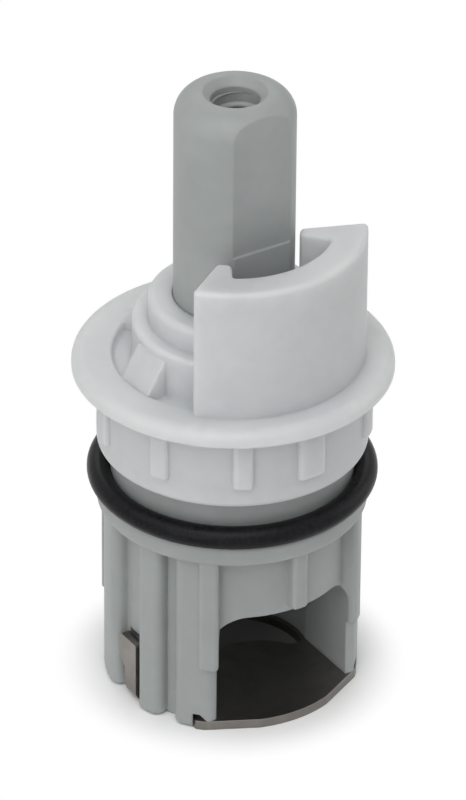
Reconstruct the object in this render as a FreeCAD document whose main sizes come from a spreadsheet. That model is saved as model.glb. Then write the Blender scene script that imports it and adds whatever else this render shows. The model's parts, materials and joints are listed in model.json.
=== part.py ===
import FreeCAD, Part
import math
import os
import Sketcher

# Quarter-turn faucet stem unit, in millimetres. The plate's underside is z = 0, the axis is Z
# and the flow window of the barrel faces -Y.
doc = FreeCAD.newDocument("FaucetStem")
sheet = doc.addObject("Spreadsheet::Sheet", "Sizes")


class Size:
    """A length or angle that knows its value and its formula in the sheet."""

    def __init__(self, value, text):
        self.value = value
        self.text = text

    def __add__(self, other):
        other = as_size(other)
        return Size(self.value + other.value, f"({self.text} + {other.text})")

    def __sub__(self, other):
        other = as_size(other)
        return Size(self.value - other.value, f"({self.text} - {other.text})")

    def __mul__(self, other):
        other = as_size(other)
        return Size(self.value * other.value, f"({self.text} * {other.text})")

    def __truediv__(self, other):
        other = as_size(other)
        return Size(self.value / other.value, f"({self.text} / {other.text})")

    def __neg__(self):
        return Size(-self.value, f"(-1 * {self.text})")


def as_size(number):
    return number if isinstance(number, Size) else Size(float(number), repr(float(number)))


def sine(angle):
    angle = as_size(angle)
    return Size(math.sin(math.radians(angle.value)), f"sin({angle.text})")


def cosine(angle):
    angle = as_size(angle)
    return Size(math.cos(math.radians(angle.value)), f"cos({angle.text})")


def arc_sine(ratio):
    return Size(math.degrees(math.asin(ratio.value)), f"(asin({ratio.text}) / 1 deg)")


def across(radius, offset):
    """The other leg of a right triangle with this hypotenuse and leg."""
    radius = as_size(radius)
    offset = as_size(offset)
    leg = math.sqrt(radius.value ** 2 - offset.value ** 2)
    return Size(leg, f"sqrt({radius.text} ^ 2 - {offset.text} ^ 2)")


row_count = 0


def size(alias, value, meaning):
    """Writes one driving dimension to the sheet."""
    global row_count
    row_count += 1
    sheet.set(f"A{row_count}", meaning)
    sheet.set(f"B{row_count}", str(value))
    sheet.setAlias(f"B{row_count}", alias)
    return Size(float(value), f"Sizes.{alias}")


# Fits
running_gap = size("running_gap", 0.06, "radial gap between rotor and bonnet")
end_play = size("end_play", 0.1, "axial gap between rotor and bonnet")
seat_gap = size("seat_gap", 0.02, "gap between a seated ring or plate and the moulding")
overlap = size("overlap", 0.3, "how far an added form reaches into its base")

# Rotor: barrel
valley_radius = size("valley_radius", 8.7, "barrel between its columns")
column_depth = size("column_depth", 1.15, "how far the columns stand out")
column_corner = size("column_corner", 0.8, "rounding of the columns' edges")
foot_round = size("foot_round", 0.3, "rounding of the columns' feet")
foot_gap = size("foot_gap", 0.08, "column feet above the plate's underside")
front_width = size("front_width", 21.3, "angle of each column beside the window")
front_middle = size("front_middle", 49.1, "window axis to the middle of such a column")
slim_width = size("slim_width", 14.5, "angle of the slim columns")
slim_middle = size("slim_middle", 73.5, "window axis to the middle of a slim column")
wide_width = size("wide_width", 45, "angle of the wide columns")
wide_middle = size("wide_middle", 121, "window axis to the middle of a wide column")
back_width = size("back_width", 24, "angle of the back column")
rib_depth = size("rib_depth", 1.5, "how far the guide ribs stand out from the valleys")
rib_width = size("rib_width", 9, "angle of a guide rib")
rib_level = size("rib_level", 5.6, "lower end of the guide ribs")
rib_corner = size("rib_corner", 0.34, "rounding of the guide ribs' edges")
rib_round = size("rib_round", 0.22, "rounding of the guide ribs' lower ends")
rib_front = size("rib_front", 42.4, "window axis to the ribs beside the window")
rib_back = size("rib_back", 135, "window axis to the ribs on the wide columns")
window_half_width = size("window_half_width", 5.9, "half width of the flow window")
window_top = size("window_top", 9.92, "top of the flow window")
window_corner = size("window_corner", 2.3, "rounding of the window's top corners")
apron_depth = size("apron_depth", 0.35, "how far the wall over the window stands out")
short_rib_depth = size("short_rib_depth", 1.27, "how far the short rib stands out from the valleys")
short_rib_width = size("short_rib_width", 8, "angle of the short rib over the window")
short_rib_gap = size("short_rib_gap", 0.45, "window's top to the short rib")
chamber_radius = size("chamber_radius", 6.1, "round chamber inside the barrel")
chamber_top = size("chamber_top", 13.0, "ceiling of the chamber")
chamber_round = size("chamber_round", 0.8, "rounding under the chamber's ceiling")

# Steel port plate
plate_thickness = size("plate_thickness", 0.75, "sheet thickness of the port plate")
rim_wall = size("rim_wall", 0.6, "wall round the plate's disc")
bend_inside = size("bend_inside", 0.3, "inside radius of the bent tabs")
tab_height = size("tab_height", 5.3, "top of the bent tabs")
tab_shoulder = size("tab_shoulder", 2.5, "height where the tab's neck starts to widen")
tab_slope = size("tab_slope", 0.7, "height over which the tab widens to its head")
tab_front = size("tab_front", 1.25, "axis to the tab's straight edge, toward the window")
tab_neck = size("tab_neck", 1.55, "width of the tab's neck")
tab_head = size("tab_head", 2.3, "width of the tab's head")
tab_corner = size("tab_corner", 0.25, "rounding of the tab's top corners")
tab_notch = size("tab_notch", 0.45, "width of the relief notch beside a tab")
tab_notch_depth = size("tab_notch_depth", 0.35, "depth of that notch")
tab_gap = size("tab_gap", 0.15, "gap beside the tab's neck in the rim")
catch_inset = size("catch_inset", 0.15, "tab's head past the catch slot behind it")
catch_depth = size("catch_depth", 0.9, "depth of that slot")
catch_low = size("catch_low", 0.7, "tab's top down to the slot's lower end")
catch_high = size("catch_high", 0.4, "tab's top up to the slot's upper end")
lobe_step = size("lobe_step", 0.05, "lobe's ends outside the columns")
lobe_front_step = size("lobe_front_step", 0.33, "lobe's front inside its ends")
lobe_straight = size("lobe_straight", 3.85, "width of the lobe's straight edges")
lobe_inset = size("lobe_inset", 0.73, "plate's disc past the lobe's sides")
lobe_end = size("lobe_end", 0.45, "round outer end of the lobe's straight edges")
lobe_gap = size("lobe_gap", 0.12, "gap beside the lobe in the columns' feet")
foot_notch_height = size("foot_notch_height", 0.54, "height of the notch over the lobe's ends")
foot_notch_width = size("foot_notch_width", 0.37, "flat top of that notch")
foot_notch_slope = size("foot_notch_slope", 0.4, "width of that notch's slope")
foot_notch_inset = size("foot_notch_inset", 3.7, "notch's inner end inside the valleys")
cover_radius = size("cover_radius", 5.5, "part of the plate that covers the seat")
cover_offset = size("cover_offset", 4.65, "axis to the centre of the seat")
port_step = size("port_step", 0.3, "port's outer edge inside the chamber")
port_reach = size("port_reach", 4.6, "half width of the port's curved front edge")

# Rotor: collar, neck, drum and stem
collar_level = size("collar_level", 15.4, "underside of the collar")
collar_thickness = size("collar_thickness", 1.7, "collar under the O-ring")
collar_step = size("collar_step", 1.04, "how far the collar stands out from the neck")
collar_round = size("collar_round", 0.35, "rounding of the collar's edges")
neck_radius = size("neck_radius", 9.36, "neck and drum")
neck_length = size("neck_length", 8.9, "collar to the drum's top")
bead_level = size("bead_level", 5.4, "collar to the middle of the snap bead")
bead_height = size("bead_height", 0.3, "how far the snap bead stands out")
bead_flat = size("bead_flat", 0.4, "width of the bead's crest")
shoulder_step = size("shoulder_step", 1.0, "how far the shoulder stands out from the stem")
shoulder_height = size("shoulder_height", 4.0, "height of the shoulder")
stem_radius = size("stem_radius", 4.6, "round stem")
stem_length = size("stem_length", 20.8, "shoulder to the stem's top")
stem_round = size("stem_round", 1.9, "rounding of the stem's top")
flat_depth = size("flat_depth", 0.78, "depth of each flat in the stem")
flat_length = size("flat_length", 11.7, "length of the flats")
flat_step = size("flat_step", 0.1, "step to the shallow flats below them")
low_flat_length = size("low_flat_length", 4.4, "length of the shallow flats")
flat_runout = size("flat_runout", 0.35, "slope at the lower end of the flats")
screw_radius = size("screw_radius", 1.88, "hole for the handle screw")
screw_depth = size("screw_depth", 13.0, "depth of that hole")
sink_width = size("sink_width", 0.6, "countersink of that hole")
groove_level = size("groove_level", 2.0, "shoulder to the middle of the stem ring's groove")
groove_room = size("groove_room", 0.5, "width of that groove beside its ring")

# Quarter-turn stop
stop_travel = size("stop_travel", 90, "angle that the rotor turns")
stop_gap = size("stop_gap", 0.3, "angle left at each end of the travel")
lug_depth = size("lug_depth", 1.25, "how far the stop lug stands out from the shoulder")
lug_height = size("lug_height", 3.0, "height of the stop lug")
lug_angle = size("lug_angle", 30, "angle of the stop lug")
lug_middle = size("lug_middle", 90, "X axis to the middle of the lug")
lug_corner = size("lug_corner", 0.2, "rounding of the lug's edges")

# O-rings
body_ring_section = size("body_ring_section", 1.78, "section of the body O-ring")
stem_ring_section = size("stem_ring_section", 1.4, "section of the stem O-ring")

# Bonnet
bonnet_turn = size("bonnet_turn", 6.0, "bonnet's middle from the window's axis")
skirt_level = size("skirt_level", 20.7, "lower edge of the skirt")
skirt_wall = size("skirt_wall", 0.98, "wall of the skirt")
skirt_round = size("skirt_round", 0.45, "rounding of the skirt's lower edge")
key_height = size("key_height", 0.45, "how far the skirt's ribs stand out")
key_level = size("key_level", 22.5, "lower end of the skirt's ribs")
key_width = size("key_width", 8.5, "angle of a skirt rib")
key_first = size("key_first", 2, "bonnet's middle to the ribs' spacing")
wide_key_width = size("wide_key_width", 12.8, "angle of the locating rib")
wide_key_middle = size("wide_key_middle", -3.8, "bonnet's middle to the locating rib")
key_corner = size("key_corner", 0.4, "rounding of the skirt ribs' edges")
key_round = size("key_round", 0.25, "rounding of the skirt ribs' lower ends")
key_count = size("key_count", 10, "ribs round the skirt")
flange_level = size("flange_level", 27.25, "underside of the flange")
flange_thickness = size("flange_thickness", 1.15, "thickness of the flange")
flange_width = size("flange_width", 1.9, "flange beside the skirt")
flange_round = size("flange_round", 0.9, "rounding of the flange's upper edge")
moat_width = size("moat_width", 1.5, "width of the shallow moat round the hub")
moat_depth = size("moat_depth", 0.6, "depth of that moat")
moat_round = size("moat_round", 0.25, "rounding of that moat")
hub_wall = size("hub_wall", 0.79, "wall of the hub outside the stop slot")
hub_height = size("hub_height", 3.1, "height of the hub")
hub_round = size("hub_round", 0.3, "rounding of the hub's top")
boss_wall = size("boss_wall", 1.84, "wall of the boss round the stem")
boss_height = size("boss_height", 2.0, "height of the boss")
boss_round = size("boss_round", 0.5, "rounding of the boss's top")
gusset_width = size("gusset_width", 3.4, "width of a gusset on the flange")
gusset_height = size("gusset_height", 2.4, "height of a gusset at the hub")
gusset_round = size("gusset_round", 0.45, "rounding of a gusset's edges")
gusset_first = size("gusset_first", 178, "X axis to the first gusset")
gusset_step = size("gusset_step", 72, "angle between gussets")
crescent_margin = size("crescent_margin", 2.22, "flange's edge to the crescent wall")
crescent_wall = size("crescent_wall", 2.63, "thickness of the crescent wall")
crescent_height = size("crescent_height", 10.85, "height of the crescent wall")
crescent_round = size("crescent_round", 0.38, "rounding of the crescent wall's edges")
end_angle = size("end_angle", 62, "bonnet's middle to the crescent's end faces")
end_offset = size("end_offset", 1.0, "end faces moved in from the radial line")
lip_angle = size("lip_angle", 36, "bonnet's middle to the lips' inner sides")
lip_offset = size("lip_offset", 0.4, "inner sides moved out from the radial line")
left_lip_gap = size("left_lip_gap", 0.97, "left lip to the stem")
right_lip_gap = size("right_lip_gap", 0.37, "right lip to the stem")

doc.recompute()

column_radius = valley_radius + column_depth
rib_radius = valley_radius + rib_depth
rim_radius = valley_radius - rim_wall
plate_radius = rim_radius - seat_gap
plate_seat = plate_thickness + seat_gap
lobe_radius = column_radius + lobe_step
lobe_half_width = plate_radius - lobe_inset
lobe_shoulder_half = lobe_half_width - lobe_end
lobe_front_half = lobe_shoulder_half - lobe_straight
bend_centre = valley_radius + seat_gap - bend_inside
bend_outside = bend_inside + plate_thickness
neck_back = tab_neck - tab_front
tab_back = tab_head - tab_front
collar_top = collar_level + collar_thickness
collar_radius = neck_radius + collar_step
drum_top = collar_top + neck_length
bead_middle = collar_top + bead_level
shoulder_radius = stem_radius + shoulder_step
shoulder_top = drum_top + shoulder_height
stem_top = shoulder_top + stem_length
groove_radius = stem_radius - stem_ring_section
lug_radius = shoulder_radius + lug_depth
bore_radius = neck_radius + running_gap
stem_bore = stem_radius + running_gap
skirt_radius = bore_radius + skirt_wall
flange_radius = skirt_radius + flange_width
flange_top = flange_level + flange_thickness
moat_floor = flange_top - moat_depth
hub_radius = lug_radius + running_gap + hub_wall
hub_top = flange_top + hub_height
moat_radius = hub_radius + moat_width
boss_radius = stem_bore + boss_wall
boss_top = hub_top + boss_height
crescent_radius = flange_radius - crescent_margin
crescent_inner = crescent_radius - crescent_wall
crescent_top = flange_top + crescent_height


def new_body(label):
    body = doc.addObject("PartDesign::Body", label)
    body.Label = label
    return body


def origin_feature(body, role):
    return next(f for f in body.Origin.OriginFeatures if f.Role == role)


def new_sketch(body, name, plane, lift=None, turn=None, turn_axis=None):
    """A sketch on an origin plane, lifted along its normal or turned about one of its own axes."""
    sketch = body.newObject("Sketcher::SketchObject", name)
    sketch.AttachmentSupport = [(origin_feature(body, plane), "")]
    sketch.MapMode = "FlatFace"
    if turn is not None:
        sketch.AttachmentOffset = FreeCAD.Placement(
            FreeCAD.Vector(), FreeCAD.Rotation(turn_axis, turn.value))
        sketch.setExpression("AttachmentOffset.Rotation.Angle", turn.text)
    if lift is not None:
        sketch.setExpression("AttachmentOffset.Base.z", lift.text)
    return sketch


def hold(sketch, geometry, position, point):
    """Ties one end of a line or arc to its place, as formulas of the sheet."""
    for kind, coordinate, axis in (("DistanceX", point[0], -2), ("DistanceY", point[1], -1)):
        if coordinate.text == "0.0":
            sketch.addConstraint(Sketcher.Constraint("PointOnObject", geometry, position, axis))
            continue
        index = sketch.addConstraint(
            Sketcher.Constraint(kind, -1, 1, geometry, position, coordinate.value))
        sketch.setExpression(f"Constraints[{index}]", coordinate.text)


def vector(point):
    return FreeCAD.Vector(point[0].value, point[1].value, 0)


def draw_loop(sketch, steps):
    """Closed outline. Each step is a point, and for an arc also its centre, radius and turning."""
    geometries = []
    for start, end in zip(steps, steps[1:] + steps[:1]):
        if len(end) == 2:
            line = Part.LineSegment(vector(start), vector(end))
            geometries.append((sketch.addGeometry(line, False), 1, 2, None))
            continue
        centre = vector(end[2])
        first = vector(start) - centre
        last = vector(end) - centre
        angles = [math.atan2(first.y, first.x), math.atan2(last.y, last.x)]
        circle = Part.Circle(centre, FreeCAD.Vector(0, 0, 1), end[3].value)
        if end[4] > 0:
            arc = Part.ArcOfCircle(circle, angles[0], angles[1])
            geometries.append((sketch.addGeometry(arc, False), 1, 2, end[3]))
        else:
            arc = Part.ArcOfCircle(circle, angles[1], angles[0])
            geometries.append((sketch.addGeometry(arc, False), 2, 1, end[3]))
    for here, after in zip(geometries, geometries[1:] + geometries[:1]):
        sketch.addConstraint(Sketcher.Constraint("Coincident", here[0], here[2], after[0], after[1]))
    for (geometry, begin, _, _), point in zip(geometries, steps):
        hold(sketch, geometry, begin, point)
    for geometry, _, _, radius in geometries:
        if radius is not None:
            index = sketch.addConstraint(Sketcher.Constraint("Radius", geometry, radius.value))
            sketch.setExpression(f"Constraints[{index}]", radius.text)


def point(x, y):
    return (as_size(x), as_size(y))


origin = point(0, 0)


def polar(radius, angle):
    return (as_size(radius) * cosine(angle), as_size(radius) * sine(angle))


def arc_to(end, centre, radius, turning):
    """End of an arc: turning is 1 against the clock and -1 with it."""
    return (end[0], end[1], centre, as_size(radius), turning)


def rounded(points):
    """Outline from square corners. A corner with a third value is rounded by that radius."""
    steps = []
    for before, corner, after in zip(points[-1:] + points[:-1], points, points[1:] + points[:1]):
        here = (as_size(corner[0]), as_size(corner[1]))
        if len(corner) == 2:
            steps.append(here)
            continue
        radius = as_size(corner[2])
        towards = []
        for neighbour in (before, after):
            dx = as_size(neighbour[0]).value - here[0].value
            dy = as_size(neighbour[1]).value - here[1].value
            towards.append((math.copysign(1, dx) if abs(dx) > abs(dy) else 0,
                            math.copysign(1, dy) if abs(dy) >= abs(dx) else 0))
        (ax, ay), (bx, by) = towards
        first = shifted(here, radius, ax, ay)
        last = shifted(here, radius, bx, by)
        centre = shifted(here, radius, ax + bx, ay + by)
        turning = 1 if ay * bx - ax * by > 0 else -1
        steps.append(first)
        steps.append(arc_to(last, centre, radius, turning))
    return steps


def shifted(place, distance, sx, sy):
    x = place[0] + distance * sx if sx else place[0]
    y = place[1] + distance * sy if sy else place[1]
    return (x, y)


def revolve(body, name, steps):
    sketch = new_sketch(body, name + "_sketch", "XZ_Plane")
    draw_loop(sketch, steps)
    feature = body.newObject("PartDesign::Revolution", name)
    feature.Profile = sketch
    feature.ReferenceAxis = (sketch, ["V_Axis"])
    feature.Angle = 360
    return feature


def pad(body, name, sketch, length, symmetric=False, reversed_way=False):
    feature = body.newObject("PartDesign::Pad", name)
    feature.Profile = sketch
    feature.setExpression("Length", as_size(length).text)
    feature.Midplane = symmetric
    feature.Reversed = reversed_way
    return feature


def pocket(body, name, sketch, length, symmetric=False, reversed_way=False):
    """Cuts the sketch out of the body, and stops the script if nothing was cut."""
    doc.recompute()
    before = body.Shape.Volume
    feature = body.newObject("PartDesign::Pocket", name)
    feature.Profile = sketch
    feature.setExpression("Length", as_size(length).text)
    feature.Midplane = symmetric
    feature.Reversed = reversed_way
    doc.recompute()
    if body.Shape.Volume >= before - 1e-6:
        raise RuntimeError(f"{name} cuts nothing")
    return feature


def sector(sketch, middle, width, inner, outer, corner):
    """Part of a ring between two radial lines, with its two outer corners rounded."""
    half = as_size(width) / 2
    low = as_size(middle) - half
    high = as_size(middle) + half
    bend = arc_sine(corner / (outer - corner))
    run = across(outer - corner, corner)
    centre_low = polar(outer - corner, low + bend)
    centre_high = polar(outer - corner, high - bend)
    draw_loop(sketch, [
        arc_to(polar(inner, low), origin, inner, -1),
        polar(run, low),
        arc_to(polar(outer, low + bend), centre_low, corner, 1),
        arc_to(polar(outer, high - bend), origin, outer, 1),
        arc_to(polar(run, high), centre_high, corner, 1),
        polar(inner, high),
        ])


def turned_cut(body, name, sketch):
    groove = body.newObject("PartDesign::Groove", name)
    groove.Profile = sketch
    groove.ReferenceAxis = (sketch, ["V_Axis"])
    groove.Angle = 360


def edges_where(shape, test):
    return [f"Edge{i + 1}" for i, edge in enumerate(shape.Edges) if test(edge)]


def round_edges(body, name, edges, radius):
    base = body.Tip
    feature = body.newObject("PartDesign::Fillet", name)
    feature.Base = (base, edges)
    feature.setExpression("Radius", radius.text)
    return feature


def column_places():
    """Middle and width of each column, from the -Y axis."""
    for side in (1, -1):
        yield front_middle * side, front_width
        yield slim_middle * side, slim_width
        yield wide_middle * side, wide_width
    yield as_size(180), back_width


def round_low_edges(body, name, level, inner, radius):
    """Rounds the level edges of forms that stand out past the inner radius."""
    doc.recompute()
    edges = edges_where(body.Shape, lambda e: e.BoundBox.ZLength < 0.001
                        and abs(e.BoundBox.ZMin - level.value) < 0.001
                        and math.hypot(e.CenterOfMass.x, e.CenterOfMass.y) > inner.value + 0.05)
    return round_edges(body, name, edges, radius)


def build_stem_rotor():
    body = new_body("stem_rotor")
    bead_slope = bead_height + bead_flat / 2
    groove_low = shoulder_top + groove_level - (stem_ring_section + groove_room) / 2
    groove_high = groove_low + stem_ring_section + groove_room
    revolve(body, "turned_form", rounded([
        (0, chamber_top),
        (chamber_radius, chamber_top, chamber_round),
        (chamber_radius, plate_seat),
        (rim_radius, plate_seat),
        (rim_radius, foot_gap),
        (valley_radius, foot_gap),
        (valley_radius, collar_level),
        (collar_radius, collar_level, collar_round),
        (collar_radius, collar_top, collar_round),
        (neck_radius, collar_top),
        (neck_radius, bead_middle - bead_slope),
        (neck_radius + bead_height, bead_middle - bead_flat / 2),
        (neck_radius + bead_height, bead_middle + bead_flat / 2),
        (neck_radius, bead_middle + bead_slope),
        (neck_radius, drum_top),
        (shoulder_radius, drum_top),
        (shoulder_radius, shoulder_top),
        (stem_radius, shoulder_top),
        (stem_radius, groove_low),
        (groove_radius, groove_low),
        (groove_radius, groove_high),
        (stem_radius, groove_high),
        (stem_radius, stem_top, stem_round),
        (0, stem_top),
        ]))

    columns = new_sketch(body, "columns_sketch", "XY_Plane", lift=foot_gap)
    for middle, width in column_places():
        sector(columns, middle - 90, width, rim_radius, column_radius, column_corner)
    pad(body, "columns", columns, collar_level - foot_gap + overlap)
    round_low_edges(body, "column_feet", foot_gap, valley_radius, foot_round)

    apron = new_sketch(body, "window_apron_sketch", "XY_Plane", lift=window_top - window_corner * 2)
    sector(apron, -90, front_middle * 2, valley_radius - overlap, valley_radius + apron_depth,
           apron_depth / 2)
    pad(body, "window_apron", apron, collar_level - window_top + window_corner * 2 + overlap)

    ribs = new_sketch(body, "guide_ribs_sketch", "XY_Plane", lift=rib_level)
    for middle in (rib_front, -rib_front, rib_back, -rib_back, as_size(180)):
        sector(ribs, middle - 90, rib_width, valley_radius - overlap, rib_radius, rib_corner)
    pad(body, "guide_ribs", ribs, collar_level - rib_level + overlap)
    round_low_edges(body, "guide_rib_ends", rib_level, column_radius, rib_round)

    short_rib = new_sketch(body, "short_rib_sketch", "XY_Plane", lift=window_top + short_rib_gap)
    sector(short_rib, -90, short_rib_width, valley_radius - overlap,
           valley_radius + short_rib_depth, rib_corner)
    pad(body, "short_rib", short_rib, collar_level - window_top - short_rib_gap + overlap)
    round_low_edges(body, "short_rib_end", window_top + short_rib_gap,
                    valley_radius + apron_depth, rib_round)

    window = new_sketch(body, "window_sketch", "XZ_Plane")
    draw_loop(window, rounded([
        (-window_half_width, -plate_thickness),
        (window_half_width, -plate_thickness),
        (window_half_width, window_top, window_corner),
        (-window_half_width, window_top, window_corner),
        ]))
    pocket(body, "window", window, collar_radius + overlap, reversed_way=True)

    recess = new_sketch(body, "lobe_recess_sketch", "XY_Plane")
    recess_half = lobe_half_width + lobe_gap
    recess_start = across(plate_radius, lobe_half_width) - lobe_gap
    draw_loop(recess, [
        point(-recess_half, -collar_radius),
        point(recess_half, -collar_radius),
        point(recess_half, -recess_start),
        point(-recess_half, -recess_start),
        ])
    pocket(body, "lobe_recess", recess, plate_seat, reversed_way=True)

    notches = new_sketch(body, "foot_notches_sketch", "XZ_Plane",
                         lift=valley_radius - foot_notch_inset)
    notch_inner = recess_half - foot_notch_width
    for side in (1, -1):
        draw_loop(notches, [
            point(recess_half * side, plate_seat - overlap),
            point(recess_half * side, plate_seat + foot_notch_height),
            point(notch_inner * side, plate_seat + foot_notch_height),
            point((notch_inner - foot_notch_slope) * side, plate_seat),
            point((notch_inner - foot_notch_slope) * side, plate_seat - overlap),
            ])
    pocket(body, "foot_notches", notches, collar_radius, reversed_way=True)

    for side, name in ((1, "right"), (-1, "left")):
        slot = new_sketch(body, f"{name}_tab_slot_sketch", "XZ_Plane", lift=tab_front + tab_gap)
        draw_loop(slot, [
            point((rim_radius - overlap) * side, 0),
            point((rim_radius - overlap) * side, plate_seat),
            point(bend_centre * side, plate_seat),
            arc_to(point(valley_radius * side, bend_outside), point(bend_centre * side, bend_outside),
                   bend_inside - seat_gap, side),
            point((column_radius + overlap) * side, bend_outside),
            point((column_radius + overlap) * side, 0),
            ])
        pocket(body, f"{name}_tab_slot", slot, tab_neck + tab_gap * 2)

    for side, name in ((1, "right"), (-1, "left")):
        catch = new_sketch(body, f"{name}_catch_sketch", "YZ_Plane",
                           lift=(valley_radius - catch_depth) * side)
        draw_loop(catch, rounded([
            (catch_inset - tab_front, tab_height - catch_low),
            (tab_back - catch_inset, tab_height - catch_low),
            (tab_back - catch_inset, tab_height + catch_high),
            (catch_inset - tab_front, tab_height + catch_high),
            ]))
        pocket(body, f"{name}_catch", catch, catch_depth + overlap, reversed_way=side > 0)

    flats = new_sketch(body, "flats_sketch", "YZ_Plane")
    flat_distance = stem_radius - flat_depth
    low_flat_end = stem_top - flat_length - low_flat_length
    for side in (1, -1):
        draw_loop(flats, [
            point(flat_distance * side, stem_top - flat_length),
            point(flat_distance * side, stem_top + overlap),
            point((stem_radius + overlap) * side, stem_top + overlap),
            point((stem_radius + overlap) * side, low_flat_end - flat_runout),
            point((flat_distance + flat_step) * side, low_flat_end),
            point((flat_distance + flat_step) * side, stem_top - flat_length),
            ])
    pocket(body, "flats", flats, (stem_radius + overlap) * 2, symmetric=True)

    lug = new_sketch(body, "stop_lug_sketch", "XY_Plane", lift=drum_top - overlap)
    sector(lug, lug_middle, lug_angle, shoulder_radius - overlap, lug_radius, lug_corner)
    pad(body, "stop_lug", lug, lug_height + overlap)

    hole = new_sketch(body, "screw_hole_sketch", "XZ_Plane")
    draw_loop(hole, [
        point(0, stem_top - screw_depth),
        point(screw_radius, stem_top - screw_depth),
        point(screw_radius, stem_top - sink_width),
        point(screw_radius + sink_width, stem_top),
        point(screw_radius + sink_width, stem_top + overlap),
        point(0, stem_top + overlap),
        ])
    turned_cut(body, "screw_hole", hole)
    return body


def build_bonnet():
    body = new_body("bonnet")
    revolve(body, "turned_form", rounded([
        (0, skirt_level),
        (skirt_radius, skirt_level, skirt_round),
        (skirt_radius, flange_level),
        (flange_radius, flange_level),
        (flange_radius, flange_top, flange_round),
        (moat_radius, flange_top, moat_round),
        (moat_radius, moat_floor, moat_round),
        (hub_radius, moat_floor, moat_round),
        (hub_radius, hub_top, hub_round),
        (boss_radius, hub_top),
        (boss_radius, boss_top, boss_round),
        (0, boss_top),
        ]))

    keys = new_sketch(body, "skirt_ribs_sketch", "XY_Plane", lift=key_level)
    root = skirt_radius - overlap
    key_radius = skirt_radius + key_height
    sector(keys, wide_key_middle - 90, wide_key_width, root, key_radius, key_corner)
    step = Size(360 / key_count.value, f"(360 / {key_count.text})")
    for number in range(1, int(key_count.value)):
        sector(keys, step * number + key_first - 90, key_width, root, key_radius, key_corner)
    pad(body, "skirt_ribs", keys, flange_level - key_level + overlap)
    round_low_edges(body, "skirt_rib_ends", key_level, skirt_radius, key_round)

    for number in range(3):
        gusset = new_sketch(body, f"gusset_sketch_{number}", "XZ_Plane",
                            turn=gusset_first - gusset_step * number,
                            turn_axis=FreeCAD.Vector(0, 1, 0))
        draw_loop(gusset, [
            point(hub_radius - overlap, moat_floor - overlap),
            point(moat_radius, moat_floor - overlap),
            point(moat_radius, flange_top),
            point(hub_radius, flange_top + gusset_height),
            point(hub_radius - overlap, flange_top + gusset_height),
            ])
        pad(body, f"gusset_{number}", gusset, gusset_width, symmetric=True)

    wall = new_sketch(body, "crescent_sketch", "XY_Plane", lift=moat_floor - overlap)
    left_lip = stem_radius + left_lip_gap
    right_lip = stem_radius + right_lip_gap
    outer_end = end_angle - arc_sine(end_offset / crescent_radius)
    root_side = lip_angle + arc_sine(lip_offset / crescent_inner)
    draw_loop(wall, [
        polar(crescent_radius, -outer_end - 90),
        arc_to(polar(crescent_radius, outer_end - 90), origin, crescent_radius, 1),
        polar(right_lip, end_angle - arc_sine(end_offset / right_lip) - 90),
        polar(right_lip, lip_angle + arc_sine(lip_offset / right_lip) - 90),
        polar(crescent_inner, root_side - 90),
        arc_to(polar(crescent_inner, -root_side - 90), origin, crescent_inner, -1),
        polar(left_lip, -lip_angle - arc_sine(lip_offset / left_lip) - 90),
        polar(left_lip, -end_angle + arc_sine(end_offset / left_lip) - 90),
        ])
    pad(body, "crescent", wall, crescent_top - moat_floor + overlap)
    doc.recompute()
    top_edges = edges_where(body.Shape, lambda e: abs(e.BoundBox.ZMin - crescent_top.value) < 0.001)
    corner_edges = edges_where(body.Shape, lambda e: e.BoundBox.ZLength > hub_height.value
                               and math.hypot(e.BoundBox.XLength, e.BoundBox.YLength) < 0.001
                               and abs(e.BoundBox.ZMax - crescent_top.value) < 0.001)
    round_edges(body, "crescent_edges", top_edges + corner_edges, crescent_round)

    bore = new_sketch(body, "bore_sketch", "XZ_Plane")
    bead_crest = bead_flat / 2 + end_play
    bead_slope = bead_crest + bead_height
    hub_bore = shoulder_radius + running_gap
    draw_loop(bore, rounded([
        (0, skirt_level - overlap),
        (bore_radius, skirt_level - overlap),
        (bore_radius, bead_middle - bead_slope),
        (bore_radius + bead_height, bead_middle - bead_crest),
        (bore_radius + bead_height, bead_middle + bead_crest),
        (bore_radius, bead_middle + bead_slope),
        (bore_radius, drum_top + end_play),
        (hub_bore, drum_top + end_play),
        (hub_bore, shoulder_top + end_play),
        (stem_bore, shoulder_top + end_play),
        (stem_bore, crescent_top + overlap),
        (0, crescent_top + overlap),
        ]))
    turned_cut(body, "bore", bore)

    slot = new_sketch(body, "stop_slot_sketch", "XY_Plane", lift=drum_top + end_play + lug_height)
    slot_half = lug_angle / 2 + stop_travel / 2 + stop_gap
    slot_middle = lug_middle + stop_travel / 2 - bonnet_turn
    slot_inner = shoulder_radius - overlap
    slot_outer = lug_radius + running_gap
    draw_loop(slot, [
        arc_to(polar(slot_inner, slot_middle - slot_half), origin, slot_inner, -1),
        polar(slot_outer, slot_middle - slot_half),
        arc_to(polar(slot_outer, slot_middle + slot_half), origin, slot_outer, 1),
        polar(slot_inner, slot_middle + slot_half),
        ])
    pocket(body, "stop_slot", slot, lug_height + overlap)
    body.Placement = FreeCAD.Placement(
        FreeCAD.Vector(), FreeCAD.Rotation(FreeCAD.Vector(0, 0, 1), bonnet_turn.value))
    body.setExpression("Placement.Rotation.Angle", bonnet_turn.text)
    return body


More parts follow.
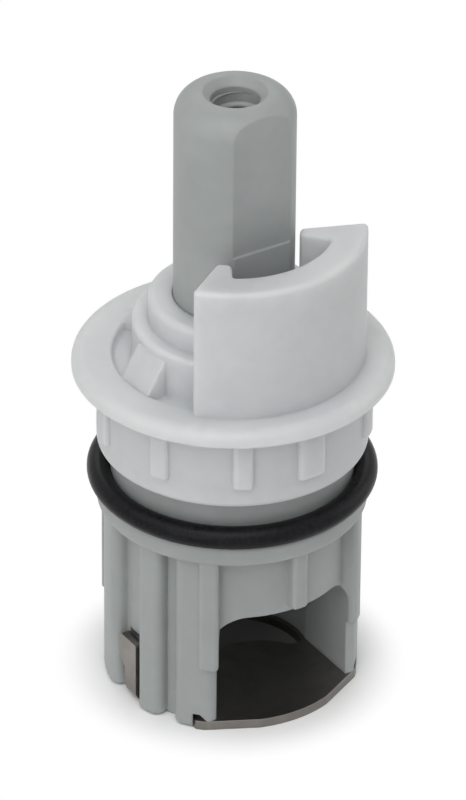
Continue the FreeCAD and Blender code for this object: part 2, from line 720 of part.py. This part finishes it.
def build_port_plate():
    body = new_body("port_plate")
    outline = new_sketch(body, "disc_sketch", "XY_Plane")
    lobe_edge = across(lobe_radius, lobe_half_width)
    shoulder_edge = across(lobe_radius, lobe_shoulder_half)
    front_radius = lobe_radius - lobe_front_step
    front_edge = across(front_radius, lobe_front_half)
    disc_edge = across(plate_radius, lobe_half_width)
    notch_front = tab_front + tab_notch
    notch_back = neck_back + tab_notch
    front_notch_edge = across(plate_radius, notch_front)
    back_notch_edge = across(plate_radius, notch_back)
    notch_floor = plate_radius - tab_notch_depth
    draw_loop(outline, [
        arc_to(point(-lobe_shoulder_half, -shoulder_edge), origin, lobe_radius, 1),
        point(-lobe_front_half, -front_edge),
        arc_to(point(lobe_front_half, -front_edge), origin, front_radius, 1),
        point(lobe_shoulder_half, -shoulder_edge),
        arc_to(point(lobe_half_width, -lobe_edge), origin, lobe_radius, 1),
        point(lobe_half_width, -disc_edge),
        arc_to(point(front_notch_edge, -notch_front), origin, plate_radius, 1),
        point(notch_floor, -notch_front),
        point(notch_floor, notch_back),
        point(back_notch_edge, notch_back),
        arc_to(point(-back_notch_edge, notch_back), origin, plate_radius, 1),
        point(-notch_floor, notch_back),
        point(-notch_floor, -notch_front),
        point(-front_notch_edge, -notch_front),
        arc_to(point(-lobe_half_width, -disc_edge), origin, plate_radius, 1),
        point(-lobe_half_width, -lobe_edge),
        ])
    port_radius = chamber_radius - port_step
    cover_edge = across(cover_radius, port_reach) - cover_offset
    port_edge = across(port_radius, cover_edge)
    draw_loop(outline, [
        arc_to(point(port_reach, cover_edge), point(0, -cover_offset), cover_radius, -1),
        point(port_edge, cover_edge),
        arc_to(point(-port_edge, cover_edge), origin, port_radius, 1),
        point(-port_reach, cover_edge),
        ])
    pad(body, "disc", outline, plate_thickness)

    tab_inner = bend_centre + bend_inside
    tab_outer = tab_inner + plate_thickness
    for side, name in ((1, "right"), (-1, "left")):
        centre = point(bend_centre * side, bend_outside)
        bend = new_sketch(body, f"{name}_bend_sketch", "XZ_Plane", lift=tab_front)
        draw_loop(bend, [
            point((notch_floor - overlap) * side, 0),
            point(bend_centre * side, 0),
            arc_to(point(tab_outer * side, bend_outside), centre, bend_outside, side),
            point(tab_inner * side, bend_outside),
            arc_to(point(bend_centre * side, plate_thickness), centre, bend_inside, -side),
            point((notch_floor - overlap) * side, plate_thickness),
            ])
        pad(body, f"{name}_bend", bend, tab_neck, reversed_way=True)
        tab = new_sketch(body, f"{name}_tab_sketch", "YZ_Plane", lift=tab_inner * side)
        head_level = tab_shoulder + tab_slope
        draw_loop(tab, rounded([
            (-tab_front, bend_outside),
            (neck_back, bend_outside),
            (neck_back, tab_shoulder),
            (tab_back, head_level),
            (tab_back, tab_height, tab_corner),
            (-tab_front, tab_height, tab_corner),
            ]))
        pad(body, f"{name}_tab", tab, plate_thickness, reversed_way=side < 0)
    return body


def build_ring(label, centre_radius, section_radius, level):
    ring = doc.addObject("Part::Torus", label)
    ring.Label = label
    ring.setExpression("Radius1", centre_radius.text)
    ring.setExpression("Radius2", section_radius.text)
    ring.setExpression("Placement.Base.z", level.text)
    return ring


def build_body_o_ring():
    half = body_ring_section / 2
    return build_ring("body_o_ring", neck_radius + seat_gap + half, half,
                      collar_top + seat_gap + half)


def build_stem_o_ring():
    half = stem_ring_section / 2
    return build_ring("stem_o_ring", groove_radius + seat_gap + half, half,
                      shoulder_top + groove_level)


nodes = [
    build_stem_rotor(),
    build_bonnet(),
    build_port_plate(),
    build_body_o_ring(),
    build_stem_o_ring(),
    ]
doc.recompute()

for item in doc.Objects:
    if "Invalid" in item.State or "Error" in item.State:
        raise RuntimeError(f"{item.Name} did not build: {item.State}")
for node in nodes:
    if node.Shape.isNull() or not node.Shape.isValid() or len(node.Shape.Solids) != 1:
        raise RuntimeError(f"{node.Label} is not one valid solid")

os.makedirs("parts", exist_ok=True)
for node in nodes:
    node.Shape.exportStep(f"parts/{node.Label}.step")
    print(node.Label, round(node.Shape.Volume, 2), node.Shape.BoundBox)
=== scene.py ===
import json
import math

import bmesh
import bpy
from mathutils import Matrix, Vector


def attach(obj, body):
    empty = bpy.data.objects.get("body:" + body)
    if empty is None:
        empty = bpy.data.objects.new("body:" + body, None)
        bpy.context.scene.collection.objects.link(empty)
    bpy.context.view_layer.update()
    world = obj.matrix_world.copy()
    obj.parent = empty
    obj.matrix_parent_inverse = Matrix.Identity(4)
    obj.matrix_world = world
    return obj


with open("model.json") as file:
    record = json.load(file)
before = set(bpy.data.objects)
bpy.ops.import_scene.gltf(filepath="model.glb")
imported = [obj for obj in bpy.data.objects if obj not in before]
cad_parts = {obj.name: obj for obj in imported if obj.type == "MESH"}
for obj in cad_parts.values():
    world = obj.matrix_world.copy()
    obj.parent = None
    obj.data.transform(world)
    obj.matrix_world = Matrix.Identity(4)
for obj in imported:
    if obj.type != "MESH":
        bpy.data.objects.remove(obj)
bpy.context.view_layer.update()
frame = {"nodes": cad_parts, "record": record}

mm = 0.001
nodes = frame["nodes"]

# camera, as the photo was taken
shot = {
    "azimuth": -32.5,       # degrees, 0 looks along +Y
    "elevation": 31.96,
    "roll": 0.49,
    "distance": 533.3 * mm,
    "aimHeight": 23.85 * mm,
    "aimAside": 0.016 * mm,
    "lens": 315.0,          # mm, over the sensor's long side
    "sensor": 36.0,
    "clipStart": 0.01,
    "clipEnd": 10.0,
}


def makeCamera():
    print("camera")
    a = math.radians(shot["azimuth"])
    e = math.radians(shot["elevation"])
    right = Vector((math.cos(a), math.sin(a), 0))
    forward = Vector((-math.sin(a) * math.cos(e), math.cos(a) * math.cos(e), -math.sin(e)))
    up = right.cross(forward)
    aim = Vector((0, 0, shot["aimHeight"])) + right * shot["aimAside"]
    basis = Matrix((right, up, -forward)).transposed()
    turn = Matrix.Rotation(math.radians(shot["roll"]), 3, "Z")
    cam = bpy.data.cameras.new("shot")
    cam.lens = shot["lens"]
    cam.sensor_width = shot["sensor"]
    cam.clip_start = shot["clipStart"]
    cam.clip_end = shot["clipEnd"]
    obj = bpy.data.objects.new("shot", cam)
    eye = aim - forward * shot["distance"]
    obj.matrix_world = Matrix.Translation(eye) @ (basis @ turn).to_4x4()
    bpy.context.scene.collection.objects.link(obj)
    bpy.context.scene.camera = obj


# soft boxes round the part, all large and near, so that no shadow has an edge
lampHeight = 25 * mm        # what they point at, on the axis
lampDistance = 0.55
lampSize = 0.45
lamps = [
    {"name": "frontBox", "azimuth": -33, "elevation": 58, "power": 1.20},
    {"name": "lowBox", "azimuth": -62, "elevation": 20, "power": 0.66},
    {"name": "leftBox", "azimuth": -105, "elevation": 50, "power": 0.50},
    {"name": "rightBox", "azimuth": 75, "elevation": 22, "power": 0.52},
    {"name": "backBox", "azimuth": 150, "elevation": 45, "power": 0.45},
]


def makeLamps():
    print("lamps")
    aim = Vector((0, 0, lampHeight))
    for lamp in lamps:
        a = math.radians(lamp["azimuth"])
        e = math.radians(lamp["elevation"])
        away = Vector((math.sin(a) * math.cos(e), -math.cos(a) * math.cos(e), math.sin(e)))
        data = bpy.data.lights.new(lamp["name"], "AREA")
        data.shape = "DISK"
        data.size = lampSize
        data.energy = lamp["power"]
        obj = bpy.data.objects.new(lamp["name"], data)
        obj.location = aim + away * lampDistance
        obj.rotation_euler = away.to_track_quat("Z", "Y").to_euler()
        bpy.context.scene.collection.objects.link(obj)


# colour sockets of a Mix node, by number: their names repeat
mixUnder = 6
mixOver = 7
mixColor = 2


def addNode(tree, kind, **values):
    node = tree.nodes.new(kind)
    for name, value in values.items():
        if hasattr(node, name):
            setattr(node, name, value)
        else:
            node.inputs[name.replace("_", " ")].default_value = value
    return node


# floor and world: white to the camera, plain to the object
ground = {
    "halfWidth": 0.6,
    "floorColor": 0.96,
    "floorRough": 0.8,
    "floorDrop": 0.02 * mm,      # floor below the part, so that they don't share a plane
    "paintedShadowColor": 0.22,          # painted shadow: dark floor colour under the barrel, seen through the port
    # radius inside which the floor is painted dark as shadow
    "paintedShadowEnd": 8.6 * mm,
    "worldStrength": 0.25,
    "shadowStart": 9.0 * mm,     # plain floor with its shadow up to here
    "shadowEnd": 14.0 * mm,      # white from here on
}


def seenRays(tree):
    path = addNode(tree, "ShaderNodeLightPath")
    camera = addNode(tree, "ShaderNodeMath", operation="MAXIMUM")
    both = addNode(tree, "ShaderNodeMath", operation="MAXIMUM")
    tree.links.new(path.outputs["Is Camera Ray"], camera.inputs[0])
    tree.links.new(path.outputs["Is Glossy Ray"], camera.inputs[1])
    tree.links.new(camera.outputs[0], both.inputs[0])
    tree.links.new(path.outputs["Is Transmission Ray"], both.inputs[1])
    return both.outputs[0]


def mixShaders(tree, share, plain, white):
    mix = addNode(tree, "ShaderNodeMixShader")
    tree.links.new(share, mix.inputs[0])
    tree.links.new(plain, mix.inputs[1])
    tree.links.new(white, mix.inputs[2])
    return mix.outputs[0]


def makeGround():
    print("floor and world")
    scene = bpy.context.scene
    world = bpy.data.worlds.new("studio")
    scene.world = world
    world.use_nodes = True
    tree = world.node_tree
    tree.nodes.clear()
    soft = addNode(tree, "ShaderNodeBackground", Strength=ground["worldStrength"])
    white = addNode(tree, "ShaderNodeBackground", Strength=1.0)
    out = addNode(tree, "ShaderNodeOutputWorld")
    sky = mixShaders(tree, seenRays(tree), soft.outputs[0], white.outputs[0])
    tree.links.new(sky, out.inputs[0])

    half = ground["halfWidth"]
    mesh = bpy.data.meshes.new("floor")
    mesh.from_pydata([(-half, -half, 0), (half, -half, 0), (half, half, 0), (-half, half, 0)],
                     [], [(0, 1, 2, 3)])
    floor = bpy.data.objects.new("floor", mesh)
    floor.location.z = -ground["floorDrop"]
    scene.collection.objects.link(floor)
    mat = bpy.data.materials.new("whiteSweep")
    mat.use_nodes = True
    tree = mat.node_tree
    tree.nodes.clear()
    c = ground["floorColor"]
    shade = addNode(tree, "ShaderNodeBsdfPrincipled", Roughness=ground["floorRough"])
    glow = addNode(tree, "ShaderNodeEmission")
    place = addNode(tree, "ShaderNodeTexCoord")
    reach = addNode(tree, "ShaderNodeVectorMath", operation="LENGTH")
    fade = addNode(tree, "ShaderNodeMapRange", interpolation_type="SMOOTHSTEP")
    fade.inputs["From Min"].default_value = ground["shadowStart"]
    fade.inputs["From Max"].default_value = ground["shadowEnd"]
    # painted shadow: inside this radius the floor's own colour turns dark, standing in for the
    # shade under the part
    under = addNode(tree, "ShaderNodeMath", operation="LESS_THAN")
    under.inputs[1].default_value = ground["paintedShadowEnd"]
    u = ground["paintedShadowColor"]
    paint = addNode(tree, "ShaderNodeMix", data_type="RGBA")
    paint.inputs[mixUnder].default_value = (c, c, c, 1)
    paint.inputs[mixOver].default_value = (u, u, u, 1)
    share = addNode(tree, "ShaderNodeMath", operation="MULTIPLY")
    out = addNode(tree, "ShaderNodeOutputMaterial")
    tree.links.new(place.outputs["Object"], reach.inputs[0])
    tree.links.new(reach.outputs["Value"], fade.inputs["Value"])
    tree.links.new(reach.outputs["Value"], under.inputs[0])
    tree.links.new(under.outputs[0], paint.inputs[0])
    tree.links.new(paint.outputs[mixColor], shade.inputs["Base Color"])
    tree.links.new(seenRays(tree), share.inputs[0])
    tree.links.new(fade.outputs[0], share.inputs[1])
    sweep = mixShaders(tree, share.outputs[0], shade.outputs[0], glow.outputs[0])
    tree.links.new(sweep, out.inputs[0])
    mesh.materials.append(mat)


def newGroup(name, inputs, outputs):
    group = bpy.data.node_groups.new(name, "ShaderNodeTree")
    for label, kind, value in inputs:
        socket = group.interface.new_socket(label, in_out="INPUT", socket_type=kind)
        if value is not None:
            socket.default_value = value
    for label, kind in outputs:
        group.interface.new_socket(label, in_out="OUTPUT", socket_type=kind)
    return group, group.nodes.new("NodeGroupInput"), group.nodes.new("NodeGroupOutput")


def makeMouldGrain():
    # skin of a moulding: fine spark-eroded grain over a slow waviness
    group, given, made = newGroup("mouldGrain", [
        ("Grain Scale", "NodeSocketFloat", 7000.0),
        ("Wave Scale", "NodeSocketFloat", 350.0),
        ("Wave Share", "NodeSocketFloat", 0.6),
    ], [("Height", "NodeSocketFloat"), ("Speck", "NodeSocketFloat")])
    tree = group
    place = addNode(tree, "ShaderNodeTexCoord")
    grain = addNode(tree, "ShaderNodeTexNoise", Detail=3.0, Roughness=0.6)
    wave = addNode(tree, "ShaderNodeTexNoise", Detail=1.0)
    scaled = addNode(tree, "ShaderNodeMath", operation="MULTIPLY")
    total = addNode(tree, "ShaderNodeMath", operation="ADD")
    for tex, scale in ((grain, "Grain Scale"), (wave, "Wave Scale")):
        tree.links.new(place.outputs["Object"], tex.inputs["Vector"])
        tree.links.new(given.outputs[scale], tex.inputs["Scale"])
    tree.links.new(wave.outputs["Fac"], scaled.inputs[0])
    tree.links.new(given.outputs["Wave Share"], scaled.inputs[1])
    tree.links.new(grain.outputs["Fac"], total.inputs[0])
    tree.links.new(scaled.outputs[0], total.inputs[1])
    tree.links.new(total.outputs[0], made.inputs["Height"])
    tree.links.new(grain.outputs["Fac"], made.inputs["Speck"])
    return group


def makeFlowTint():
    # slow drift of tone where the melt flowed, plus faint small clouds
    group, given, made = newGroup("flowTint", [
        ("Pale", "NodeSocketColor", (0.8, 0.8, 0.8, 1)),
        ("Deep", "NodeSocketColor", (0.6, 0.6, 0.6, 1)),
        ("Drift Scale", "NodeSocketFloat", 90.0),
        ("Cloud Scale", "NodeSocketFloat", 700.0),
        ("Cloud Share", "NodeSocketFloat", 0.35),
    ], [("Color", "NodeSocketColor"), ("Mask", "NodeSocketFloat")])
    tree = group
    place = addNode(tree, "ShaderNodeTexCoord")
    drift = addNode(tree, "ShaderNodeTexNoise", Detail=2.0, Distortion=0.8)
    cloud = addNode(tree, "ShaderNodeTexNoise", Detail=4.0, Roughness=0.55)
    blend = addNode(tree, "ShaderNodeMix", data_type="FLOAT")
    spread = addNode(tree, "ShaderNodeMapRange", interpolation_type="SMOOTHSTEP")
    spread.inputs["From Min"].default_value = 0.32
    spread.inputs["From Max"].default_value = 0.68
    paint = addNode(tree, "ShaderNodeMix", data_type="RGBA")
    for tex, scale in ((drift, "Drift Scale"), (cloud, "Cloud Scale")):
        tree.links.new(place.outputs["Object"], tex.inputs["Vector"])
        tree.links.new(given.outputs[scale], tex.inputs["Scale"])
    tree.links.new(given.outputs["Cloud Share"], blend.inputs[0])
    tree.links.new(drift.outputs["Fac"], blend.inputs[2])
    tree.links.new(cloud.outputs["Fac"], blend.inputs[3])
    tree.links.new(blend.outputs[0], spread.inputs["Value"])
    tree.links.new(spread.outputs[0], paint.inputs[0])
    tree.links.new(given.outputs["Deep"], paint.inputs[mixUnder])
    tree.links.new(given.outputs["Pale"], paint.inputs[mixOver])
    tree.links.new(paint.outputs[mixColor], made.inputs["Color"])
    tree.links.new(spread.outputs[0], made.inputs["Mask"])
    return group


def makeEdgeRub():
    # outer and inner edges, found by comparing the rounded normal with the true one
    group, given, made = newGroup("edgeRub", [
        ("Radius", "NodeSocketFloat", 0.0002),
        ("Gain", "NodeSocketFloat", 6.0),
        ("Patch Scale", "NodeSocketFloat", 1500.0),
    ], [("Mask", "NodeSocketFloat"), ("Soft Normal", "NodeSocketVector")])
    tree = group
    soft = addNode(tree, "ShaderNodeBevel", samples=6)
    true = addNode(tree, "ShaderNodeNewGeometry")
    likeness = addNode(tree, "ShaderNodeVectorMath", operation="DOT_PRODUCT")
    turned = addNode(tree, "ShaderNodeMath", operation="SUBTRACT")
    turned.inputs[0].default_value = 1.0
    gained = addNode(tree, "ShaderNodeMath", operation="MULTIPLY", use_clamp=True)
    place = addNode(tree, "ShaderNodeTexCoord")
    patch = addNode(tree, "ShaderNodeTexNoise", Detail=3.0)
    broken = addNode(tree, "ShaderNodeMath", operation="MULTIPLY", use_clamp=True)
    tree.links.new(given.outputs["Radius"], soft.inputs["Radius"])
    tree.links.new(soft.outputs[0], likeness.inputs[0])
    tree.links.new(true.outputs["Normal"], likeness.inputs[1])
    tree.links.new(likeness.outputs["Value"], turned.inputs[1])
    tree.links.new(turned.outputs[0], gained.inputs[0])
    tree.links.new(given.outputs["Gain"], gained.inputs[1])
    tree.links.new(place.outputs["Object"], patch.inputs["Vector"])
    tree.links.new(given.outputs["Patch Scale"], patch.inputs["Scale"])
    tree.links.new(gained.outputs[0], broken.inputs[0])
    tree.links.new(patch.outputs["Fac"], broken.inputs[1])
    tree.links.new(broken.outputs[0], made.inputs["Mask"])
    tree.links.new(soft.outputs[0], made.inputs["Soft Normal"])
    return group


def makeRollLines():
    # long fine lines that the rolls leave in sheet steel
    group, given, made = newGroup("rollLines", [
        ("Line Scale", "NodeSocketFloat", 9000.0),
        ("Stretch", "NodeSocketFloat", 0.02),
    ], [("Height", "NodeSocketFloat"), ("Mask", "NodeSocketFloat")])
    tree = group
    place = addNode(tree, "ShaderNodeTexCoord")
    along = addNode(tree, "ShaderNodeCombineXYZ", Y=1.0, Z=1.0)
    squeezed = addNode(tree, "ShaderNodeVectorMath", operation="MULTIPLY")
    lines = addNode(tree, "ShaderNodeTexNoise", Detail=3.0, Roughness=0.7)
    bands = addNode(tree, "ShaderNodeMapRange")
    bands.inputs["From Min"].default_value = 0.35
    bands.inputs["From Max"].default_value = 0.65
    tree.links.new(given.outputs["Stretch"], along.inputs["X"])
    tree.links.new(place.outputs["Object"], squeezed.inputs[0])
    tree.links.new(along.outputs[0], squeezed.inputs[1])
    tree.links.new(squeezed.outputs[0], lines.inputs["Vector"])
    tree.links.new(given.outputs["Line Scale"], lines.inputs["Scale"])
    tree.links.new(lines.outputs["Fac"], bands.inputs["Value"])
    tree.links.new(lines.outputs["Fac"], made.inputs["Height"])
    tree.links.new(bands.outputs[0], made.inputs["Mask"])
    return group


def placeGroup(tree, group, **values):
    node = tree.nodes.new("ShaderNodeGroup")
    node.node_tree = group
    for name, value in values.items():
        node.inputs[name.replace("_", " ")].default_value = value
    return node


def blankMaterial(name, **values):
    mat = bpy.data.materials.new(name)
    mat.use_nodes = True
    tree = mat.node_tree
    tree.nodes.clear()
    shade = addNode(tree, "ShaderNodeBsdfPrincipled", **values)
    out = addNode(tree, "ShaderNodeOutputMaterial")
    tree.links.new(shade.outputs[0], out.inputs[0])
    return mat, tree, shade


def rangeOf(tree, value, low, high):
    node = addNode(tree, "ShaderNodeMapRange")
    node.inputs["To Min"].default_value = low
    node.inputs["To Max"].default_value = high
    tree.links.new(value, node.inputs["Value"])
    return node.outputs[0]


def tinted(tree, share, under, over):
    node = addNode(tree, "ShaderNodeMix", data_type="RGBA")
    tree.links.new(share, node.inputs[0])
    tree.links.new(under, node.inputs[mixUnder])
    node.inputs[mixOver].default_value = over
    return node.outputs[mixColor]


def bumped(tree, height, depth, normal):
    node = addNode(tree, "ShaderNodeBump", Strength=1.0, Distance=depth)
    tree.links.new(height, node.inputs["Height"])
    if normal is not None:
        tree.links.new(normal, node.inputs["Normal"])
    return node.outputs[0]


# both mouldings are the same kind of plastic in two colours
mouldSkin = {
    "ior": 1.48,
    "reachRatio": (1.0, 0.95, 0.9),
    "grainScale": 5200.0,
    "waveScale": 260.0,
    "rubGain": 5.0,
    "rubShare": 0.7,
}
greyMoulding = {
    "pale": (0.385, 0.405, 0.402, 1),
    "deep": (0.335, 0.355, 0.350, 1),
    "rubbed": (0.47, 0.49, 0.48, 1),
    "roughLow": 0.42,
    "roughHigh": 0.54,
    "milkiness": 0.35,
    "milkReach": 0.7 * mm,      # how far light wanders inside
    "grainDepth": 0.0045 * mm,
    "edgeRadius": 0.22 * mm,
}
whiteMoulding = {
    "pale": (0.665, 0.677, 0.682, 1),
    "deep": (0.605, 0.622, 0.632, 1),
    "rubbed": (0.73, 0.74, 0.74, 1),
    "roughLow": 0.40,
    "roughHigh": 0.52,
    "milkiness": 0.85,
    "milkReach": 2.4 * mm,
    "grainDepth": 0.004 * mm,
    "edgeRadius": 0.24 * mm,
}


def makeMoulding(name, look, groups):
    mat, tree, shade = blankMaterial(name, IOR=mouldSkin["ior"])
    shade.inputs["Subsurface Weight"].default_value = look["milkiness"]
    shade.inputs["Subsurface Radius"].default_value = mouldSkin["reachRatio"]
    shade.inputs["Subsurface Scale"].default_value = look["milkReach"]
    grain = placeGroup(tree, groups["mouldGrain"], Grain_Scale=mouldSkin["grainScale"],
                       Wave_Scale=mouldSkin["waveScale"])
    tint = placeGroup(tree, groups["flowTint"], Pale=look["pale"], Deep=look["deep"])
    rub = placeGroup(tree, groups["edgeRub"], Radius=look["edgeRadius"],
                     Gain=mouldSkin["rubGain"])
    worn = rangeOf(tree, rub.outputs["Mask"], 0.0, mouldSkin["rubShare"])
    tree.links.new(tinted(tree, worn, tint.outputs["Color"], look["rubbed"]),
                   shade.inputs["Base Color"])
    tree.links.new(rangeOf(tree, tint.outputs["Mask"], look["roughLow"], look["roughHigh"]),
                   shade.inputs["Roughness"])
    skin = bumped(tree, grain.outputs["Height"], look["grainDepth"], rub.outputs["Soft Normal"])
    tree.links.new(skin, shade.inputs["Normal"])
    return mat


plateSteel = {
    "pale": (0.27, 0.253, 0.236, 1),
    "deep": (0.215, 0.20, 0.186, 1),
    "sheared": (0.30, 0.285, 0.27, 1),
    "roughLow": 0.30,
    "roughHigh": 0.38,
    "lineScale": 8000.0,
    "lineDepth": 0.0003 * mm,
    "driftScale": 160.0,
    "cloudScale": 900.0,
    "edgeRadius": 0.06 * mm,
    "edgeGain": 8.0,
}


def makeSteel(groups):
    look = plateSteel
    mat, tree, shade = blankMaterial("rolledSteel", Metallic=1.0)
    lines = placeGroup(tree, groups["rollLines"], Line_Scale=look["lineScale"])
    tint = placeGroup(tree, groups["flowTint"], Pale=look["pale"], Deep=look["deep"],
                      Drift_Scale=look["driftScale"], Cloud_Scale=look["cloudScale"])
    rub = placeGroup(tree, groups["edgeRub"], Radius=look["edgeRadius"], Gain=look["edgeGain"])
    tree.links.new(tinted(tree, rub.outputs["Mask"], tint.outputs["Color"], look["sheared"]),
                   shade.inputs["Base Color"])
    tree.links.new(rangeOf(tree, lines.outputs["Mask"], look["roughLow"], look["roughHigh"]),
                   shade.inputs["Roughness"])
    rolled = bumped(tree, lines.outputs["Height"], look["lineDepth"], rub.outputs["Soft Normal"])
    tree.links.new(rolled, shade.inputs["Normal"])
    return mat


sealRubber = {
    "pale": (0.010, 0.010, 0.012, 1),
    "deep": (0.006, 0.006, 0.007, 1),
    "bloom": (0.022, 0.022, 0.024, 1),   # dull specks on the skin
    "roughLow": 0.26,
    "roughHigh": 0.40,
    "ior": 1.52,
    "shine": 0.10,
    "skinDepth": 0.0022 * mm,
    "grainScale": 3200.0,
    "waveScale": 420.0,
    "waveShare": 1.4,
    "driftScale": 220.0,
    "cloudScale": 1600.0,
    "cloudShare": 0.5,
    "speckLow": -0.6,                    # below 0, so that only the strong ones show
    "speckHigh": 0.75,
}


def makeRubber(groups):
    look = sealRubber
    mat, tree, shade = blankMaterial("nitrileRubber", IOR=look["ior"],
                                     Specular_IOR_Level=look["shine"])
    skin = placeGroup(tree, groups["mouldGrain"], Grain_Scale=look["grainScale"],
                      Wave_Scale=look["waveScale"], Wave_Share=look["waveShare"])
    tint = placeGroup(tree, groups["flowTint"], Pale=look["pale"], Deep=look["deep"],
                      Drift_Scale=look["driftScale"], Cloud_Scale=look["cloudScale"],
                      Cloud_Share=look["cloudShare"])
    specks = rangeOf(tree, skin.outputs["Speck"], look["speckLow"], look["speckHigh"])
    tree.links.new(tinted(tree, specks, tint.outputs["Color"], look["bloom"]),
                   shade.inputs["Base Color"])
    tree.links.new(rangeOf(tree, tint.outputs["Mask"], look["roughLow"], look["roughHigh"]),
                   shade.inputs["Roughness"])
    tree.links.new(bumped(tree, skin.outputs["Height"], look["skinDepth"], None),
                   shade.inputs["Normal"])
    return mat


def dress(obj, mat):
    obj.data.materials.clear()
    obj.data.materials.append(mat)


def makeMaterials():
    print("materials")
    groups = {
        "mouldGrain": makeMouldGrain(),
        "flowTint": makeFlowTint(),
        "edgeRub": makeEdgeRub(),
        "rollLines": makeRollLines(),
    }
    return {
        "rotor_plastic": makeMoulding("greyAcetal", greyMoulding, groups),
        "bonnet_plastic": makeMoulding("whiteAcetal", whiteMoulding, groups),
        "plate_steel": makeSteel(groups),
        "seal_rubber": makeRubber(groups),
    }


# thread in the handle screw's hole: a ridge that winds down the wall
thread = {
    "wallRadius": 1.90 * mm,
    "crestRadius": 1.66 * mm,
    "pitch": 1.06 * mm,
    "rootHalf": 0.34 * mm,      # half width at the wall
    "crestHalf": 0.07 * mm,
    "top": 49.85 * mm,
    "turns": 9,
    "stepsPerTurn": 48,
    "runIn": 0.6,               # turns over which the ridge starts and ends
    "tipShare": 0.04,           # of the full ridge, at its very ends
}


def makeThread(mats):
    print("screw thread")
    t = thread
    total = t["turns"] * t["stepsPerTurn"]
    bm = bmesh.new()
    rings = []
    for i in range(total + 1):
        turned = i / t["stepsPerTurn"]
        angle = math.tau * turned
        z = t["top"] - t["pitch"] * turned
        left = t["turns"] - turned
        grown = min(1.0, turned / t["runIn"] + t["tipShare"], left / t["runIn"] + t["tipShare"])
        crest = t["wallRadius"] + (t["crestRadius"] - t["wallRadius"]) * grown
        ring = []
        for radius, lift in ((t["wallRadius"], t["rootHalf"]), (crest, t["crestHalf"]),
                             (crest, -t["crestHalf"]), (t["wallRadius"], -t["rootHalf"])):
            x, y = radius * math.cos(angle), radius * math.sin(angle)
            ring.append(bm.verts.new((x, y, z + lift * grown)))
        rings.append(ring)
    for one, two in zip(rings, rings[1:]):
        for j in range(4):
            k = (j + 1) % 4
            bm.faces.new((one[j], two[j], two[k], one[k]))
    bm.faces.new(rings[0])
    bm.faces.new(list(reversed(rings[-1])))
    bmesh.ops.recalc_face_normals(bm, faces=bm.faces)
    mesh = bpy.data.meshes.new("screw_thread")
    bm.to_mesh(mesh)
    bm.free()
    obj = bpy.data.objects.new("screw_thread", mesh)
    bpy.context.scene.collection.objects.link(obj)
    dress(obj, mats["rotor_plastic"])
    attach(obj, "rotor")


def dressNodes(mats):
    print("finishes")
    for row in frame["record"]["subparts"]:
        dress(nodes[row["node"]], mats[row["material_slot"]])


makeCamera()
makeLamps()
makeGround()
mats = makeMaterials()
dressNodes(mats)
makeThread(mats)

bpy.context.scene.view_settings.view_transform = "Standard"
